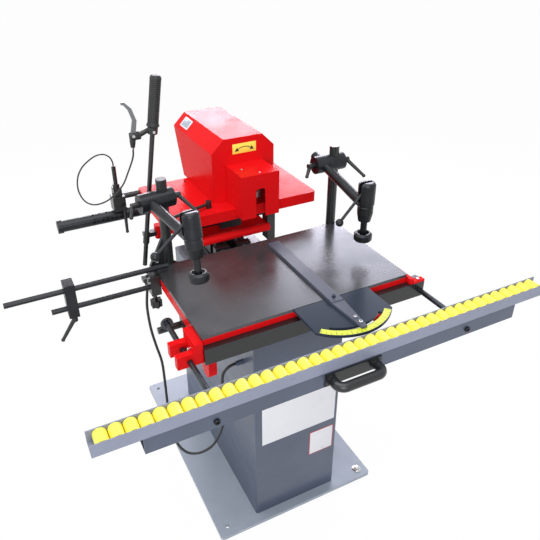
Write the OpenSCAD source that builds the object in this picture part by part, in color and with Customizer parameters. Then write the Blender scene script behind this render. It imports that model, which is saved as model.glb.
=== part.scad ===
// Horizontal slot mortiser: floor stand, lifting table with cam clamps, mitre fence,
// length stop and roller support, and a boring head on a two-way slide.
// X runs along the table, Y from the operator to the head, Z up from the floor.

/* [Stand] */
// Width of the base plate
base_w = 600; // [560:5:700]
// Depth of the base plate
base_d = 818; // [780:2:900]
// Thickness of the base plate
base_t = 12; // [8:1:20]
// Diameter of the floor bolt holes
floor_hole_d = 14; // [10:1:18]
// Distance from the plate's edges to the floor bolt holes
floor_hole_inset = 35; // [25:1:50]
// Width of the cabinet
cabinet_w = 310; // [280:2:340]
// Top of the cabinet above the floor
cabinet_h = 740; // [720:1:760]
// Y of the cabinet's front face
cabinet_front_y = -377; // [-385:1:-360]
// Y of the cabinet's rear face
cabinet_rear_y = 300; // [295:1:330]
// Sheet thickness of the cabinet
cabinet_t = 3; // [2:0.5:5]

/* [Table] */
// Width of the table
table_w = 660; // [640:2:680]
// Depth of the table
table_d = 385; // [370:1:388]
// Height of the table's top above the cabinet
table_up = 145; // [138:1:155]
// Y of the table's front edge
table_front_y = -430; // [-432:1:-425]
// Thickness of the ground top plate
table_plate_t = 10; // [6:1:14]
// Height of the table frame under the plate
table_frame_t = 18; // [14:1:24]
// Wall thickness of the table frame
table_wall = 16; // [10:1:24]
// Diameter of the elevating ram
ram_d = 80; // [70:1:90]
// Height of the front beam
beam_h = 50; // [40:1:54]
// Depth of the front beam
beam_d = 40; // [30:1:46]

/* [Roller support] */
// Number of rollers
roller_n = 39; // [20:1:39]
// Distance between roller axes
roller_pitch = 33; // [32:0.5:34]
// Diameter of a roller
roller_d = 32; // [26:0.5:32]
// Width of the rail's channel
rail_w = 46; // [40:1:50]
// Height of the rail's channel
rail_h = 34; // [32:1:38]
// Wall thickness of the rail's channel
rail_t = 2.5; // [2:0.5:4]
// Bare rail beyond the end rollers' axes
rail_end = 28; // [20:1:40]
// Gap from the table's front edge to the rail
rail_gap = 180; // [178:1:190]
// Length of the square tube under the rail
tube_l = 1090; // [1000:5:1200]
// Height of the square tube
tube_h = 48; // [40:1:54]
// Diameter of the support rods
support_rod_d = 16; // [12:1:20]
// Distance from the table's side to each support rod
support_rod_out = 38; // [36:1:44]

/* [Clamps] */
// X of the left clamp post
post_left_x = -280; // [-295:1:-275]
// X of the right clamp post
post_right_x = 314; // [300:1:320]
// Diameter of the clamp posts
post_d = 32; // [28:1:36]
// Height of the clamp posts above the table
post_top = 280; // [265:1:310]
// Height of the left cross cylinder's axis above the table
collar_up_left = 218; // [210:1:230]
// Height of the right cross cylinder's axis above the table
collar_up_right = 224; // [215:1:235]
// Diameter of the cross cylinders
collar_d = 57; // [54:1:62]
// Reach of the left clamp arm
reach_left = 265; // [240:1:300]
// Reach of the right clamp arm
reach_right = 242; // [220:1:300]
// Angle by which the left arm is raised
raise_left = 10; // [0:1:14]
// Angle by which the right arm is raised
raise_right = 0; // [0:1:12]
// Angle by which the left clamp is swung on its post
swing_left = 7; // [-6:0.5:8]
// Diameter of the clamp arms
arm_d = 30; // [26:1:32]
// Diameter of the clamp heads
head_d = 52; // [48:1:56]
// Diameter of the pressure pads
pad_d = 56; // [40:1:60]

/* [Length stop] */
// Diameter of the stop's two rods
stop_rod_d = 16; // [12:1:18]
// Length of the lower stop rod
stop_bar_l = 420; // [380:5:440]
// Length of the upper stop rod
stop_rod_l = 470; // [400:5:500]
// Height of the upper rod's axis above the table
stop_rod_up = 20; // [17:1:24]

/* [Mitre fence] */
// X of the fence's pivot
fence_x = 62; // [40:1:80]
// Width of the fence bar
fence_w = 38; // [30:1:44]
// Thickness of the fence bar
fence_t = 9.5; // [6:0.5:10]
// Radius of the sector plate
sector_r = 160; // [150:1:162]
// Half width of the sector plate
sector_half_w = 122; // [100:1:125]

/* [Boring head] */
// Width of the head tray
tray_w = 548; // [538:2:558]
// Depth of the head tray
tray_d = 330; // [320:1:340]
// Height of the tray's top above the cabinet
tray_up = 237; // [235:1:240]
// Height of the tray's lips
tray_lip = 37; // [30:1:38]
// Sheet thickness of the tray, hood and guard
sheet_t = 3; // [2:0.5:4]
// Width of the motor hood
hood_w = 228; // [210:2:240]
// Height of the motor hood
hood_h = 216; // [205:1:230]
// Chamfer along the hood's top edges
hood_chamfer = 44; // [20:1:50]
// X of the spindle
spindle_x = 54; // [45:1:60]
// Height of the spindle above the tray
spindle_up = 66; // [65:1:70]
// Diameter of the motor body
motor_d = 128; // [110:1:130]
// Diameter of the spindle
spindle_d = 24; // [20:1:28]
// Diameter of the chuck
chuck_d = 56; // [40:1:64]
// Width of the chuck guard
guard_w = 134; // [120:1:140]
// Height of the chuck guard's top above the tray
guard_up = 130; // [120:1:140]
// Width of the guard's front slot
guard_slot_w = 33; // [24:1:36]
// Diameter of the slide's round guide rods
guide_d = 25; // [20:1:25]

/* [Index and hand lever] */
// Diameter of the index bar
index_d = 40; // [36:1:42]
// Length of the index bar
index_l = 485; // [480:5:520]
// Diameter of the index plunger
plunger_pin_d = 8; // [6:0.5:9]
// Diameter of the hand lever
lever_d = 14; // [12:1:18]
// Length of the hand lever
lever_l = 585; // [555:5:610]
// Lean of the hand lever
lever_tilt = 9.2; // [7:0.1:10]
// Diameter of the grip
grip_d = 33; // [30:0.5:36]
// Length of the grip
grip_l = 142; // [120:1:150]

/* [Hidden] */
$fn = 48;

red = [0.82, 0.10, 0.10];
black = [0.14, 0.15, 0.16];
steel = [0.45, 0.45, 0.47];
bright = [0.72, 0.72, 0.74];
stand_blue = [0.36, 0.40, 0.50];
dark_grey = [0.25, 0.27, 0.31];
rail_grey = [0.68, 0.69, 0.78];
yellow = [0.98, 0.93, 0.20];

// Clearances: a running fit, a free gap between moving faces, a fixed seat
fit = 0.05;
gap = 0.3;
seat = 0.02;
eps = 0.01;

// Heights and edges that several pieces share
table_h = cabinet_h + table_up;
tray_top = cabinet_h + tray_up;
table_back_y = table_front_y + table_d;
frame_top = table_h - table_plate_t;
frame_low = frame_top - table_frame_t;
table_mid_y = -240;
beam_y = table_front_y - 20;
beam_low = frame_low - beam_h;
support_rod_x = table_w / 2 + support_rod_out;
support_rod_z = table_h - 57;
support_rod_back = table_front_y + 166;
support_x = -8;
rail_y = table_front_y - rail_gap - rail_w;
rail_l = (roller_n - 1) * roller_pitch + 2 * rail_end;
rail_low = table_h - rail_h;
roller_z = table_h + 1 - roller_d / 2;
tube_d = rail_w - 6;
tube_y = rail_y + 3;
post_y = table_back_y + 10;
collar_l = 55;
collar_left = -22;
boss_l = 52;
arm_x = -42;
head_drop = 55;
head_top = 26;
head_low = -99;
cam_z = 10;
cam_slot_w = 12;
cam_pin_d = 8;
plunger_d = 20;
plunger_top = cam_z - 21.5;
pad_low = -166;
pad_t = 26;
skirt_t = 8;
stop_y = table_back_y - 37;
stop_bar_z = frame_low - 12;
stop_rod_z = table_h + stop_rod_up;
stop_bracket_w = 31;
stop_bracket_low = frame_low - 36;
stop_block_x = -607;
stop_block_w = 30;
fence_y = table_front_y - 12;
fence_back = 345;
fence_pin_d = 10;
sector_t = 8;
tray_y = 40;
tray_right = 297;
tray_left = tray_right - tray_w;
ear_w = 39;
lock_x = spindle_x - 142;
lock_y = 92;
tray_under = tray_top - sheet_t;
hood_left = spindle_x - hood_w / 2;
hood_y = 114;
hood_foot_y = 405;
hood_back_y = 478;
hood_back_rise = 170;
guard_left = spindle_x - guard_w / 2;
guard_y = -14;
guard_drop = 20;
spindle_z = tray_top + spindle_up;
slide_low = cabinet_h + 122;
slide_t = 20;
slide_bar_d = 30;
slide_y = 60;
slide_d = 250;
slide_left = -155;
slide_right = 120;
x_rod_z = cabinet_h + 182;
x_rod_y = [88, 262];
bracket_w = [18, 30];
bush_x = -58;
bush_l = 76;
y_rod_x = [-72, 8];
y_rod_z = cabinet_h + 92;
y_bush_l = 60;
y_bush_y = [78, 225];
column_top = cabinet_h + 62;
column_x = -92;
column_w = 120;
guide_plate_t = 12;
guide_plate_y = 20;
guide_plate_d = 455;
end_block_d = 25;
index_y = 355;
index_z = cabinet_h + 153;
index_pin_x = tray_left - 79;
index_left = index_pin_x - 215;
index_bracket_x = [-153, -105];
index_block_low = index_z + index_d / 2 + 3;
index_block_top = tray_top + 23;
adjuster_top = tray_top + 103;
lever_y = 30;
lever_foot = [tray_left - 89, lever_y, cabinet_h + 118];
mount_up = lever_l + 6 - grip_l - 12;
blade_pivot = lever_foot + mount_up * [sin(lever_tilt), 0, cos(lever_tilt)] + [-58.9, 0, -7.4];
wheel_y = -178;
wheel_z = cabinet_h - 210;
wheel_shaft_d = 20;
bit_d = 16;

// Routes of the two cables, from exit to exit; each is carried along by its two ends
function carried(p, from, to) = let (n = len(p) - 1)
  [for (i = [0 : n]) p[i] + (from - p[0]) * (1 - i / n) + (to - p[n]) * (i / n)];
power_d = 9;
power_route = carried([
  [-337, 45, 768], [-341, 43, 745], [-351, 27, 697], [-353, 3, 628], [-346, -15, 563], [-337, -30, 500],
  [-340, -50, 410], [-345, -70, 330], [-345, -90, 250], [-338, -120, 195], [-315, -150, 170],
  [-280, -180, 180], [-243, -210, 225], [-222, -235, 295], [-215, -260, 375], [-218, -280, 465],
  [-224, -290, 540], [-226, -298, 572], [-226, -300, 601], [-221, -300, 620], [-206, -300, 635],
  [-190, -300, 640], [-180, -300, 640]
], [-337, 45, cabinet_h + 28], [-cabinet_w / 2 - 25, -300, cabinet_h - 100]);
brake_d = 5;
brake_route = carried([
  [-333, 30, 1243], [-334, 34, 1222], [-338, 50, 1195], [-345, 80, 1155], [-356, 110, 1110], [-376, 140, 1070],
  [-405, 170, 1037], [-438, 195, 1022], [-464, 215, 1032], [-476, 230, 1065], [-470, 246, 1100], [-450, 266, 1124],
  [-421, 290, 1136], [-390, 315, 1140], [-361, 335, 1133], [-340, 349, 1115], [-331, 355, 1095], [-330, 355, 1080]
], blade_pivot + [-4, 0, -39], [index_pin_x, index_y, adjuster_top]);

// A round bar along X, Y or Z from its start
module bar_x(d, l) { rotate([0, 90, 0]) cylinder(d = d, h = l); }
module bar_y(d, l) { rotate([-90, 0, 0]) cylinder(d = d, h = l); }
module bar_z(d, l) { cylinder(d = d, h = l); }

// A box from a corner
module box(corner, size) { translate(corner) cube(size); }

// A plate with round corners, from its corner
module round_plate(w, d, t, r) {
  linear_extrude(t) {
    translate([r, 0]) square([w - 2 * r, d]);
    translate([0, r]) square([w, d - 2 * r]);
    for (x = [r, w - r], y = [r, d - r]) translate([x, y]) circle(r);
  }
}

// Catmull-Rom point between p[i] and p[i + 1]
function clamp_i(p, i) = p[max(0, min(len(p) - 1, i))];
function spline(p, i, t) =
  let (a = clamp_i(p, i - 1), b = p[i], c = clamp_i(p, i + 1), d = clamp_i(p, i + 2))
  0.5 * (2 * b + (c - a) * t + (2 * a - 5 * b + 4 * c - d) * t * t + (3 * b - a - 3 * c + d) * t * t * t);
function smooth_route(p, n) =
  [for (i = [0 : len(p) - 2], k = [0 : n - 1]) spline(p, i, k / n), p[len(p) - 1]];
function unit(v) = v / norm(v);
function heading(p, i) = unit(clamp_i(p, i + 1) - clamp_i(p, i - 1));

// A round tube along a route, with flat ends
module cable(route, d, steps, sides) {
  p = smooth_route(route, steps);
  n = len(p);
  ring = [for (i = [0 : n - 1])
    let (h = heading(p, i), s = unit(cross(h, [1, 1, 0])), u = cross(s, h))
    for (k = [0 : sides - 1]) p[i] + d / 2 * (cos(360 * k / sides) * s + sin(360 * k / sides) * u)];
  walls = [for (i = [0 : n - 2], k = [0 : sides - 1])
    let (a = i * sides + k, b = i * sides + (k + 1) % sides)
    each [[a, b, b + sides], [a, b + sides, a + sides]]];
  ends = [[for (k = [sides - 1 : -1 : 0]) k], [for (k = [0 : sides - 1]) (n - 1) * sides + k]];
  polyhedron(points = ring, faces = concat(walls, ends));
}

// Stand

module base_plate() {
  color(dark_grey) difference() {
    translate([-base_w / 2, -base_d / 2, 0]) round_plate(base_w, base_d, base_t, 12);
    for (x = [-1, 1], y = [-1, 1])
      translate([x * (base_w / 2 - floor_hole_inset), y * (base_d / 2 - floor_hole_inset), -1])
        bar_z(floor_hole_d, base_t + 2);
  }
}

module cabinet() {
  d = cabinet_rear_y - cabinet_front_y;
  h = cabinet_h - base_t;
  gland_end = power_route[len(power_route) - 1];
  color(stand_blue) {
    difference() {
      translate([-cabinet_w / 2, cabinet_front_y, base_t]) round_plate(cabinet_w, d, h, 8);
      box([-cabinet_w / 2 + cabinet_t, cabinet_front_y + cabinet_t, base_t - 1],
          [cabinet_w - 2 * cabinet_t, d - 2 * cabinet_t, h - cabinet_t + 1]);
      translate([0, table_mid_y, cabinet_h - cabinet_t - 1]) bar_z(ram_d + 30 + 2 * seat, cabinet_t + 2);
      translate([cabinet_w / 2 - cabinet_t - 1, wheel_y, wheel_z])
        bar_x(wheel_shaft_d + 2 * fit, cabinet_t + 2);
    }
    // cable gland on the left wall
    translate([gland_end.x, gland_end.y, gland_end.z]) bar_x(16, -cabinet_w / 2 - gland_end.x);
  }
}

module head_column() {
  wall = 8;
  gland = power_route[0];
  color(black) {
    difference() {
      box([column_x, 60, cabinet_h], [column_w, 230, column_top - guide_plate_t - cabinet_h]);
      box([column_x + wall, 60 + wall, cabinet_h - 1],
          [column_w - 2 * wall, 230 - 2 * wall, column_top - cabinet_h - 2 * wall]);
    }
    box([column_x - 5, guide_plate_y, column_top - guide_plate_t],
        [column_w + 10, guide_plate_d, guide_plate_t]);
    difference() {
      for (x = y_rod_x, y = [guide_plate_y + 5, guide_plate_y + guide_plate_d - 5 - end_block_d])
        box([x - 25, y, column_top - eps], [50, end_block_d, 50]);
      for (x = y_rod_x) translate([x, guide_plate_y, y_rod_z]) bar_y(guide_d + 2 * seat, guide_plate_d);
    }
    // arm that carries the cable gland
    box([gland.x - 14, gland.y - 12, column_top - guide_plate_t],
        [column_x - gland.x + 10, 24, guide_plate_t]);
    translate([gland.x, gland.y, gland.z])
      cylinder(d1 = 13, d2 = 20, h = column_top - guide_plate_t - gland.z);
  }
}

module y_guide_rods() {
  color(bright) for (x = y_rod_x)
    translate([x, guide_plate_y + 5, y_rod_z]) bar_y(guide_d, guide_plate_d - 10);
}

module elevating_sleeve() {
  low = cabinet_h - 180;
  flange_t = 12;
  color(dark_grey) translate([0, table_mid_y, 0]) difference() {
    union() {
      translate([0, 0, low]) bar_z(ram_d + 30, cabinet_h + flange_t - low);
      translate([0, 0, cabinet_h]) bar_z(ram_d + 80, flange_t);
    }
    translate([0, 0, low - 1]) bar_z(ram_d + 2 * fit, cabinet_h + flange_t - low + 2);
  }
}

module handwheel() {
  wheel_x = 195;
  rim_r = 72;
  color(black) translate([0, wheel_y, wheel_z]) {
    translate([-30, 0, 0]) bar_x(wheel_shaft_d, 192);
    translate([-12, 0, 0]) bar_x(39, 24);
    translate([160, 0, 0]) bar_x(40, 45);
    translate([wheel_x, 0, 0]) rotate([0, 90, 0]) rotate_extrude() translate([rim_r, 0]) circle(9);
    for (a = [0, 120, 240]) rotate([a, 0, 0]) translate([wheel_x, 0, 10]) bar_z(14, rim_r - 14);
    translate([wheel_x, rim_r, 0]) {
      bar_x(10, 80);
      translate([14, 0, 0]) bar_x(22, 66);
    }
  }
}

module power_cable() { color(black) cable(power_route, power_d, 3, 10); }

// Table

module elevating_ram() {
  low = cabinet_h - 320;
  color(bright) translate([0, table_mid_y, 0]) {
    translate([0, 0, low]) bar_z(ram_d, frame_low - 12 - low + eps);
    translate([-110, -90, frame_low - 12]) round_plate(220, 180, 12, 10);
  }
}

// Half-round seats of the clamp posts in the table's back edge
module post_seats() {
  for (x = [post_left_x, post_right_x]) translate([x, post_y, frame_low - 1])
    bar_z(post_d + 2 * seat, table_h - frame_low + 2);
}

module table_top() {
  color(steel) difference() {
    translate([-table_w / 2, table_front_y, frame_top]) round_plate(table_w, table_d, table_plate_t, 4);
    post_seats();
  }
}

module table_frame() {
  lug_x = table_w / 2 - 44;
  lug_y = table_front_y + 70;
  lug_low = frame_low - 142;
  skirt = 14;
  skirt_y = table_front_y + 72;
  color(red) {
    difference() {
      translate([-table_w / 2, table_front_y, frame_low]) round_plate(table_w, table_d, table_frame_t, 6);
      box([-table_w / 2 + table_wall, table_front_y + table_wall, frame_low - 1],
          [table_w - 2 * table_wall, table_d - 2 * table_wall, table_frame_t + 2]);
      post_seats();
    }
    // skirts along both sides, short of the stop's rod
    for (x = [-table_w / 2, table_w / 2 - skirt_t])
      box([x, skirt_y, frame_low - skirt], [skirt_t, stop_y - 22 - skirt_y, skirt + 1]);
    box([-110, table_mid_y - 90, frame_low], [220, 180, table_frame_t]);
    for (y = [table_mid_y - 80, table_mid_y + 64])
      box([-table_w / 2 + 1, y, frame_low], [table_w - 2, table_wall, table_frame_t]);
    // rounded lugs that hang under the front corners
    for (s = [-1, 1]) translate([s * lug_x - 12, lug_y, 0]) rotate([90, 0, 90]) linear_extrude(24) {
      translate([-26, lug_low]) square([52, frame_low - lug_low]);
      translate([0, lug_low]) circle(26);
      translate([-table_wall - 50, frame_low - eps]) square([table_wall + 76, table_frame_t]);
    }
  }
}

module front_beam() {
  left = -table_w / 2;
  right = support_rod_x + 14;
  color(black) difference() {
    box([left, beam_y, beam_low], [right - left, beam_d, beam_h]);
    box([left - 1, beam_y + 4, beam_low + 4], [right - 32 - left + 1, beam_d - 8, beam_h - 8]);
    translate([support_rod_x, beam_y - 1, support_rod_z]) bar_y(support_rod_d + 2 * fit, beam_d + 2);
  }
}

// A fork for the left rod, and a flange with a cap over the beam's right end
module rod_clamps() {
  edge = table_w / 2;
  y = table_front_y - 12;
  low = support_rod_z - 16;
  prong_w = 20;
  color(red) {
    difference() {
      union() {
        box([-edge - 26, y, low], [26, 76, frame_top - low - 12]);
        box([-edge - 24, y, frame_top - 12 - eps], [24, 84, 12 + eps]);
        for (d = [0, 56])
          box([-support_rod_x - 34, y + d, low], [support_rod_x + 34 - edge - 26 + eps, prong_w, 38]);
      }
      translate([-support_rod_x, y - 1, support_rod_z]) bar_y(support_rod_d + 2 * fit, 78);
    }
    box([edge, beam_y + 2, frame_low], [12, 82, table_frame_t]);
    box([edge + 12 - eps, beam_y, frame_low], [support_rod_x + 2 - edge, 18, 7]);
  }
}

module clamp_posts() {
  foot_low = frame_low - 10;
  color(black) for (x = [post_left_x, post_right_x]) {
    translate([x, post_y, foot_low]) bar_z(post_d, table_h + post_top - foot_low);
    box([x - 27, table_back_y, foot_low], [54, 16, table_h - foot_low - 6]);
  }
  // tapered gusset at the left post
  color(black) translate([post_left_x, table_back_y + 16, foot_low]) rotate([90, 0, 0]) linear_extrude(12)
    polygon([[-61, 0], [50, 0], [46, 16], [32, 29], [post_d / 2, 40], [0, 129], [-post_d / 2, 129], [-61, 41]]);
  // locking screw at the right post's foot
  color(black) translate([post_right_x - 50, table_back_y + 8, table_h - 16]) bar_x(14, 24);
}

module stop_brackets() {
  left = -table_w / 2 - stop_bracket_w;
  stub_y = support_rod_back + 20;
  stub_z = frame_low - 57;
  color(black) {
    difference() {
      box([left, stop_y - 20, stop_bracket_low], [stop_bracket_w, 40, table_h + 4 - stop_bracket_low]);
      translate([left - 1, stop_y, stop_bar_z]) bar_x(stop_rod_d + 2 * fit, stop_bracket_w + 2);
    }
    // stub bar on a hanger under the frame's left wall
    box([-table_w / 2 + skirt_t, stub_y - 12, stub_z - 10], [10, 24, frame_low - stub_z + 10]);
    translate([-table_w / 2 - 62, stub_y, stub_z]) bar_x(20, 62 + skirt_t + 1);
  }
}

module stop_knob() {
  x = -table_w / 2 - stop_bracket_w / 2;
  low = stop_bracket_low - 50;
  color(black) translate([x, stop_y, low]) {
    bar_z(9, stop_bracket_low - low - gap);
    difference() {
      bar_z(36, 24);
      for (a = [0 : 60 : 300]) rotate([0, 0, a]) translate([22, 0, -1]) bar_z(16, 26);
    }
  }
}

module fence_sector() {
  top = table_h;
  slot_r = sector_r - 32;
  color(dark_grey) {
    difference() {
      translate([fence_x, fence_y, top - sector_t]) intersection() {
        bar_z(2 * sector_r, sector_t);
        box([-sector_half_w, -sector_r, -1], [2 * sector_half_w, sector_r + 10, sector_t + 2]);
      }
      translate([fence_x, fence_y, top - sector_t - 1]) rotate([0, 0, 232]) rotate_extrude(angle = 76)
        translate([slot_r, 0]) square([10, sector_t + 2]);
    }
    box([fence_x - 40, beam_y, frame_low], [80, table_front_y - 2 - beam_y, top - sector_t - frame_low + eps]);
    translate([fence_x, fence_y, top - sector_t]) bar_z(fence_pin_d, sector_t + fence_t + 6);
  }
}

module mitre_fence() {
  z = table_h + gap;
  color(dark_grey) difference() {
    union() {
      box([fence_x - fence_w / 2, fence_y - 20, z], [fence_w, fence_back + 32, fence_t - gap]);
      translate([fence_x, fence_y, z]) linear_extrude(fence_t - gap - 2)
        polygon([[-fence_w / 2, -20 + eps], [fence_w / 2, -20 + eps], [8, 14 - sector_r], [-8, 14 - sector_r]]);
    }
    translate([fence_x, fence_y, z - 1]) bar_z(fence_pin_d + 2 * fit, fence_t + 2);
  }
}

// Cam clamps: one set of modules serves both sides

// A clamping lever whose hub points along +Z and whose arm leans out by a given angle
module clamp_lever(hub_l, arm_l, lean) {
  bar_z(18, hub_l);
  translate([0, 0, hub_l - 7]) rotate([0, 90 - lean, 0]) {
    cylinder(d1 = 13, d2 = 10, h = arm_l);
    translate([0, 0, arm_l]) sphere(d = 12);
  }
}

function swing(x) = x < 0 ? swing_left : 0;

function collar_z(x) = table_h + (x < 0 ? collar_up_left : collar_up_right);

module at_collar(x) { translate([x, post_y, collar_z(x)]) rotate([0, 0, swing(x)]) children(); }

// The frame of a raised arm, about the cross cylinder's axis
module raised(x, a) { at_collar(x) rotate([-a, 0, 0]) children(); }

function droop(reach) = atan2(head_drop, reach);

module collar(x) {
  color(black) at_collar(x) difference() {
    union() {
      translate([collar_left, 0, 0]) bar_x(collar_d, collar_l);
      translate([collar_left - 4.5, 0, 0]) bar_x(24, 5);
    }
    translate([0, 0, -collar_d]) bar_z(post_d + 2 * fit, 2 * collar_d);
  }
}

module collar_lever(x) {
  color(black) at_collar(x) translate([collar_left + collar_l + gap, 0, 0])
    rotate([0, 90, 0]) rotate([0, 0, -50]) clamp_lever(24, 80, 26);
}

module arm_boss(x, reach, a) {
  color(black) raised(x, a) difference() {
    translate([collar_left - gap - boss_l, 0, 0]) bar_x(collar_d, boss_l);
    translate([collar_left - gap - 5, 0, 0]) bar_x(24 + 2 * fit, 6);
    translate([arm_x, 0, 0]) rotate([90 + droop(reach), 0, 0]) translate([0, 0, -collar_d])
      bar_z(arm_d + 2 * fit, 2 * collar_d);
  }
}

module boss_lever(x, a) {
  color(black) raised(x, a) translate([collar_left - 2 * gap - boss_l, 0, 0])
    rotate([0, -90, 0]) rotate([0, 0, 195]) clamp_lever(24, 34, 26);
}

// Outline of the clamp head: tapered foot, groove, round shoulder
function head_outline() = let (r = head_d / 2, s = 10) concat(
  [[0, head_low], [r - 7, head_low], [r - 2, head_low + 26], [r - 2, head_low + 48], [r - 4, head_low + 50],
   [r - 4, head_low + 54], [r, head_low + 56]],
  [for (k = [0 : 15 : 90]) [r - s + s * cos(k), head_top - s + s * sin(k)]],
  [[0, head_top]]);

module arm(x, reach, a, tail) {
  l = norm([reach, head_drop]);
  color(black) raised(x, a) translate([arm_x, 0, 0]) difference() {
    union() {
      rotate([90 + droop(reach), 0, 0]) translate([0, 0, -tail]) bar_z(arm_d, tail + l - 12);
      translate([0, -reach, 0]) rotate_extrude() polygon(head_outline());
    }
    translate([0, -reach, head_low - 1]) bar_z(plunger_d + 2 * fit, cam_z - head_low);
    difference() {
      box([-head_d, -reach - cam_slot_w / 2, cam_z - 42], [head_d + 22, cam_slot_w, head_top - cam_z + 43]);
      translate([0, -reach - head_d / 2, cam_z]) bar_y(cam_pin_d, head_d);
    }
  }
}

function cam_rest(x) = x < 0 ? 124 : 137;

module cam_lever(x, reach, a) {
  t = cam_slot_w - 2 * gap;
  rod_end = 126;
  color(black) raised(x, a) translate([arm_x, -reach, cam_z]) {
    difference() {
      translate([0, -t / 2, 0]) {
        bar_y(18, t);
        translate([0, 0, -8]) bar_y(24, t);
        rotate([0, -cam_rest(x), 0]) translate([0, t / 2, 6]) bar_z(t - 1, 30);
      }
      translate([0, -t, 0]) bar_y(cam_pin_d + 2 * fit, 2 * t);
    }
    rotate([0, -cam_rest(x), 0]) {
      translate([0, 0, 30]) bar_z(9, rod_end - 30);
      translate([0, 0, rod_end + 6]) sphere(d = 24);
    }
  }
}

module plunger(x, reach, a) {
  color(black) raised(x, a) translate([arm_x, -reach, 0]) rotate_extrude() polygon([
    [0, pad_low + 3], [16, pad_low + 3], [18, pad_low], [pad_d / 2 - 3, pad_low], [pad_d / 2, pad_low + 4],
    [pad_d / 2, pad_low + pad_t - 6], [pad_d / 2 - 6, pad_low + pad_t], [18, pad_low + pad_t],
    [14, pad_low + pad_t - 8], [plunger_d / 2, pad_low + pad_t - 8], [plunger_d / 2, plunger_top], [0, plunger_top]]);
}

module left_collar() { collar(post_left_x); }
module left_collar_lever() { collar_lever(post_left_x); }
module left_arm_boss() { arm_boss(post_left_x, reach_left, raise_left); }
module left_boss_lever() { boss_lever(post_left_x, raise_left); }
module left_arm() { arm(post_left_x, reach_left, raise_left, collar_d / 2 + 8); }
module left_cam_lever() { cam_lever(post_left_x, reach_left, raise_left); }
module left_plunger() { plunger(post_left_x, reach_left, raise_left); }
module right_collar() { collar(post_right_x); }
module right_collar_lever() { collar_lever(post_right_x); }
module right_arm_boss() { arm_boss(post_right_x, reach_right, raise_right); }
module right_boss_lever() { boss_lever(post_right_x, raise_right); }
module right_arm() { arm(post_right_x, reach_right, raise_right, collar_d / 2 + 24); }
module right_cam_lever() { cam_lever(post_right_x, reach_right, raise_right); }
module right_plunger() { plunger(post_right_x, reach_right, raise_right); }

// Length stop

module stop_bar() {
  color(black) translate([stop_block_x - 43, stop_y, stop_bar_z]) bar_x(stop_rod_d, stop_bar_l);
}

module stop_block() {
  low = stop_bar_z - 23;
  color(black) difference() {
    box([stop_block_x, stop_y - 22, low], [stop_block_w, 44, stop_rod_z + 25 - low]);
    for (z = [stop_bar_z, stop_rod_z])
      translate([stop_block_x - 1, stop_y, z]) bar_x(stop_rod_d + 2 * fit, stop_block_w + 2);
    box([stop_block_x - 1, stop_y - 1.5, stop_bar_z], [stop_block_w + 2, 3, stop_rod_z - stop_bar_z]);
  }
}

module stop_block_lever() {
  color(black) translate([stop_block_x + stop_block_w / 2, stop_y, stop_bar_z - 23 - gap])
    rotate([180, 0, 0]) rotate([0, 0, 180]) clamp_lever(24, 76, 55);
}

module stop_rod() {
  color(black) translate([stop_block_x - 160, stop_y, stop_rod_z]) bar_x(stop_rod_d, stop_rod_l);
}

// Roller support

module support_rods() {
  front = tube_y + tube_d;
  color(black) {
    for (s = [-1, 1])
      translate([s * support_rod_x, front, support_rod_z]) bar_y(support_rod_d, support_rod_back - front);
    // end disc of the left rod
    translate([-support_rod_x, support_rod_back - eps, support_rod_z]) bar_y(36, 8);
  }
}

module roller_rail() {
  left = support_x - rail_l / 2;
  color(rail_grey) difference() {
    box([left, rail_y, rail_low], [rail_l, rail_w, rail_h]);
    box([left - 1, rail_y + rail_t, rail_low + rail_t], [rail_l + 2, rail_w - 2 * rail_t, rail_h]);
  }
}

module support_tube() {
  wall = 3;
  left = support_x - tube_l / 2;
  color(stand_blue) difference() {
    box([left, tube_y, rail_low - tube_h], [tube_l, tube_d, tube_h]);
    box([left - 1, tube_y + wall, rail_low - tube_h + wall],
        [tube_l + 2, tube_d - 2 * wall, tube_h - 2 * wall]);
  }
}

module rollers() {
  color(yellow) for (i = [0 : roller_n - 1])
    translate([support_x + (i - (roller_n - 1) / 2) * roller_pitch, rail_y + rail_t, roller_z]) {
      bar_y(6, rail_w - 2 * rail_t);
      translate([0, 1.5, 0]) bar_y(roller_d, rail_w - 2 * rail_t - 3);
    }
}

module bow_handle() {
  leg = 42;
  half = 66;
  bend = 20;
  d = 26;
  z = rail_low - tube_h / 2 - 2;
  color(black) translate([support_x - 6, tube_y, z]) {
    // back plate
    box([-half - 18, -4, -18], [2 * half + 36, 4, 36]);
    for (s = [-1, 1]) {
      translate([s * half, -leg + bend, 0]) {
        bar_y(d, leg - bend);
        translate([-s * bend, 0, 0]) rotate([0, 0, s > 0 ? -90 : 180]) rotate_extrude(angle = 90)
          translate([bend, 0]) circle(d = d);
      }
    }
    translate([bend - half, -leg, 0]) bar_x(d, 2 * (half - bend));
    for (s = [-1, 1]) translate([s * half, -8, 0]) bar_y(32, 8);
  }
}

// Two-way slide

module cross_slide() {
  color(red) {
    box([slide_left, slide_y, slide_low], [slide_right - slide_left, slide_d, slide_t]);
    translate([slide_left, slide_y, slide_low + slide_t / 2]) bar_x(slide_bar_d, slide_right - slide_left);
  }
}

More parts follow.
